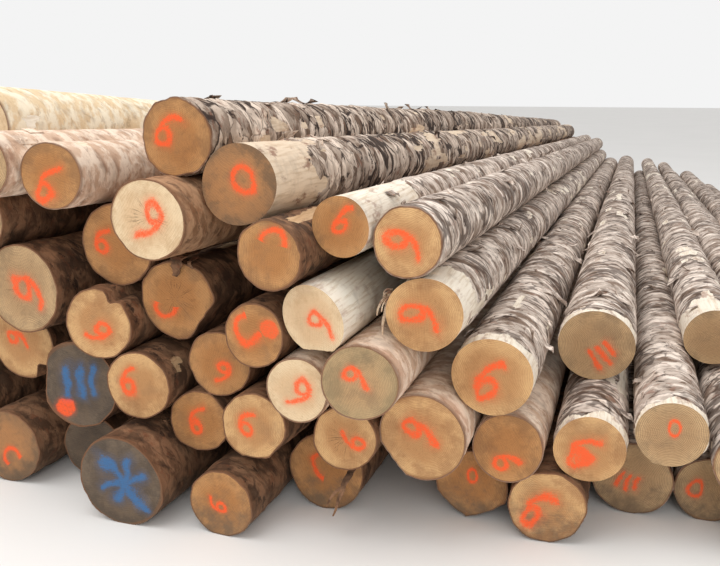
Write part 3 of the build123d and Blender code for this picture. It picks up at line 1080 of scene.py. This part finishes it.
    def flaps(self, shelf: ShaderShelf) -> bpy.types.Object | None:
        """Loose flaps of bark that stand off the trunk along one edge.

        Args:
            shelf: The materials.

        Returns:
            One object with all of them, or nothing where the trunk has none.
        """
        if not self.look.flaps:
            return None
        rows, columns = 6, 5
        total = rows * columns
        rim = [*range(columns), *range(2 * columns - 1, total, columns),
               *range(total - 2, total - columns - 1, -1), *range(total - 2 * columns, 0, -columns)]
        points, faces = [], []
        for _ in range(self.look.flaps):
            start = len(points)
            top = start + total
            points += self.flap_points(rows, columns)
            for a in (row * columns + column for row in range(rows - 1) for column in range(columns - 1)):
                corners = (a, a + 1, a + columns + 1, a + columns)
                faces.append(tuple(start + corner for corner in corners))
                faces.append(tuple(top + corner for corner in corners[::-1]))
            faces += [(start + b, start + a, top + a, top + b) for a, b in zip(rim, rim[1:] + rim[:1])]
        bark = shelf.dressed(TORN if self.look.bark is PEELED else self.look.bark)
        made = scrap(self.name + "_bark_flaps", points, faces, bark, 0.0, 0.45)
        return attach(made, "root")


@dataclass(frozen=True)
class Strip:
    """A strip of bark at a butt: X and Y in metres from its middle, Z in radii, and the widths."""

    path: tuple[Place, ...]
    widths: tuple[float, ...]


STRIPS = {
    ("bark_over_a_butt", "fourth_log_05"): (
        Strip(((0.03, 0.1, 1.12), (0.025, -0.004, 1.14), (0.02, -0.022, 0.92), (0.008, -0.012, 0.62)),
              (0.05, 0.052, 0.044, 0.02)),
        Strip(((0.06, 0.06, 1.06), (0.066, -0.012, 1.02), (0.085, -0.016, 0.84)), (0.02, 0.018, 0.006)),
    ),
    ("forked_bark_strip", "second_log_08"): (
        Strip(((0.03, 0.09, -0.93), (0.012, 0.01, -1.2), (-0.012, -0.015, -1.8), (-0.034, -0.03, -2.45)),
              (0.026, 0.024, 0.016, 0.005)),
        Strip(((0.0, -0.005, -1.5), (-0.035, -0.02, -1.75), (-0.06, -0.025, -2.15)), (0.014, 0.01, 0.004)),
    ),
}


@dataclass
class LooseStrips:
    """Strips of bark and torn fibres that hang between the butts."""

    forms: dict[str, TrunkForm]
    thickness: float = 0.004

    def ribbon(self, path: list[Place], widths: tuple[float, ...], side: Vector, points: list,
               faces: list) -> None:
        """Adds one strip.

        Args:
            path: Its middle line.
            widths: Its width at each place of the middle line.
            side: The direction that it is wide in.
            points: Takes the new points.
            faces: Takes the new faces.
        """
        steps = 4 * (len(path) - 1)
        marks = np.linspace(0, len(path) - 1, steps + 1)
        line = np.stack([np.interp(marks, range(len(path)), places) for places in zip(*path)], axis=1)
        line[1:-1] = (line[:-2] + 2 * line[1:-1] + line[2:]) / 4
        wide = np.interp(marks, range(len(path)), widths)
        start = len(points)
        for number, (place, width) in enumerate(zip(line, wide)):
            ahead = Vector(line[min(number + 1, steps)] - line[max(number - 1, 0)]).normalized()
            across = (side - ahead * side.dot(ahead)).normalized()
            out = across.cross(ahead) * self.thickness / 2
            middle = Vector(place) + across * 0.12 * width * math.sin(number * 1.9)
            curl = out * 2.2 * math.sin(number * 0.8)
            for share, lift in ((-0.5, 1), (0.5, 1), (0.5, -1), (-0.5, -1)):
                points.append(tuple(middle + across * width * share + out * lift + curl))
        for ring in range(steps):
            a = start + ring * 4
            for k in range(4):
                faces.append((a + k, a + (k + 1) % 4, a + 4 + (k + 1) % 4, a + 4 + k))
        faces.append((start + 3, start + 2, start + 1, start))
        end = start + steps * 4
        faces.append((end, end + 1, end + 2, end + 3))

    def fibres(self) -> tuple[list, list]:
        """Torn fibres that stand off the left of a butt.

        Returns:
            Their points and faces.
        """
        form = self.forms["fourth_log_07"]
        x, y, z = form.face_middle
        root = np.array([x - 1.02 * form.radius, y + 0.1, z + 0.28 * form.radius])
        sag = np.array([0, 0, -0.02])
        random = np.random.default_rng(17)
        points, faces = [], []
        for _ in range(16):
            way = [random.uniform(low, high) for low, high in ((-0.6, 0.3), (-0.7, -0.2), (-1.1, 0.35))]
            way = np.array(way)
            way *= random.uniform(0.04, 0.12) / np.linalg.norm(way)
            begin = root + random.uniform(-0.02, 0.02, 3)
            wide = random.uniform(0.008, 0.026)
            self.ribbon([begin, begin + way * 0.5, begin + way + sag], (wide, wide * 0.8, 0.003),
                        Vector((0.4, 0.2, 1)), points, faces)
        return points, faces

    def build(self, shelf: ShaderShelf) -> list[bpy.types.Object]:
        """Builds all the strips.

        Args:
            shelf: The materials.

        Returns:
            The pieces.
        """
        shapes = {}
        for (name, trunk), strips in STRIPS.items():
            (x, y, z), radius = self.forms[trunk].face_middle, self.forms[trunk].radius
            points, faces = [], []
            for strip in strips:
                path = [(x + right, y + behind, z + up * radius) for right, behind, up in strip.path]
                self.ribbon(path, strip.widths, Vector((1, 0, 0)), points, faces)
            shapes[name] = (points, faces, shelf.dressed(DARK), 0.0, "dark_bark")
        shapes["torn_fibres"] = (*self.fibres(), shelf.dressed(TORN), 1.0, "grey_bark")
        pieces = []
        for name, (points, faces, material, bare, slot) in shapes.items():
            made = scrap(name, points, faces, material, bare, 0.5)
            pieces.append(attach(made, "root"))
        return pieces


# Camera, floor and light


@dataclass(frozen=True)
class Viewpoint:
    """Where the heap is seen from: eye height, in front of the butts."""

    across: float = 0.7441
    along: float = -7.905
    height: float = 1.6
    down: float = 13.8
    left: float = 17.2
    lens: float = 40.0

    def build(self) -> None:
        """Makes the camera."""
        data = bpy.data.cameras.new("camera")
        data.lens, data.sensor_width = self.lens, 36.0
        data.clip_start, data.clip_end = 0.05, 300.0
        camera = put("camera", data)
        camera.location = (self.across, self.along, self.height)
        camera.rotation_euler = (math.radians(90 - self.down), 0.0, math.radians(self.left))
        bpy.context.scene.camera = camera


@dataclass(frozen=True)
class Studio:
    """A plain pale floor under soft light."""

    floor_half: float = 60.0
    floor_colour: Colour = (240, 238, 235)
    sky_colour: Colour = (244, 244, 244)
    sky_light: float = 0.86
    lamp_watts: float = 600.0

    def build(self) -> None:
        """Makes the floor, the lamps and the pale surroundings."""
        bpy.context.scene.view_settings.view_transform = "Standard"
        side = 7
        marks = np.linspace(-self.floor_half, self.floor_half, side)
        points = [(x, y, 0.0) for y in marks for x in marks]
        starts = [row * side + column for row in range(side - 1) for column in range(side - 1)]
        mesh = bpy.data.meshes.new("floor")
        mesh.from_pydata(points, [], [(a, a + 1, a + side + 1, a + side) for a in starts])
        material = bpy.data.materials.new("pale_floor")
        material.use_nodes = True
        sketch = NodeSketch(material.node_tree)
        cloud = sketch.noise(sketch.place(), 0.7, 3.0)
        colour = sketch.mix(cloud, self.floor_colour, tuple(part * 0.97 for part in self.floor_colour))
        shader = sketch.flow("ShaderNodeBsdfPrincipled", {"Base Color": colour, "Roughness": 0.9})
        sketch.node("ShaderNodeOutputMaterial", {"Surface": shader})
        mesh.materials.append(material)
        floor = put("floor", mesh)
        self.sky()
        self.lamp("high_lamp", (-3.0, -6.0, 9.0), (0.0, -2.0, 0.4), 9.0, self.lamp_watts)
        self.lamp("front_lamp", (3.5, -15.0, 6.0), (0.0, -5.0, 0.7), 6.0, self.lamp_watts * 0.52)

    def sky(self) -> None:
        """Lights the heap evenly from all around."""
        world = bpy.data.worlds.new("sky")
        bpy.context.scene.world = world
        world.use_nodes = True
        sketch = NodeSketch(world.node_tree)
        kinds = ("Is Camera Ray", "Is Glossy Ray", "Is Transmission Ray")
        camera, glossy, through = (sketch.flow("ShaderNodeLightPath", {}, kind) for kind in kinds)
        seen = sketch.most(sketch.most(camera, glossy), through)
        strength = seen * (1.0 - self.sky_light) + self.sky_light
        light = sketch.flow("ShaderNodeBackground", {"Color": linear(self.sky_colour), "Strength": strength})
        sketch.node("ShaderNodeOutputWorld", {"Surface": light})

    @staticmethod
    def lamp(name: str, place: Place, target: Place, size: float, watts: float) -> None:
        """Adds a broad soft lamp.

        Args:
            name: The lamp's name.
            place: Where it hangs.
            target: What it points at.
            size: Width of its face in metres.
            watts: Its power.
        """
        data = bpy.data.lights.new(name, "AREA")
        data.size, data.energy = size, watts
        made = put(name, data)
        made.location = place
        made.rotation_euler = (Vector(target) - Vector(place)).to_track_quat("-Z", "Y").to_euler()


def main() -> None:
    """Builds the heap piece by piece and the place it lies in."""
    logging.basicConfig(level=logging.INFO, format="%(message)s")
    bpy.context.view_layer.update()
    shelf = ShaderShelf()
    forms, made = {}, []
    for seed, name in enumerate(sorted(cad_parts)):
        trunk = FelledTrunk(name, LOOKS.get(name, Look()), seed)
        made += [trunk.build(shelf), trunk.flaps(shelf)]
        forms[name] = trunk.form
    made += LooseStrips(forms).build(shelf)
    counts = {piece.name: triangles_in(piece) for piece in made if piece}
    for name, count in counts.items():
        log.info("%s, %d triangles", name, count)
    log.info("heap built, %d triangles", sum(counts.values()))
    Studio().build()
    Viewpoint().build()


if __name__ == "__main__":
    main()
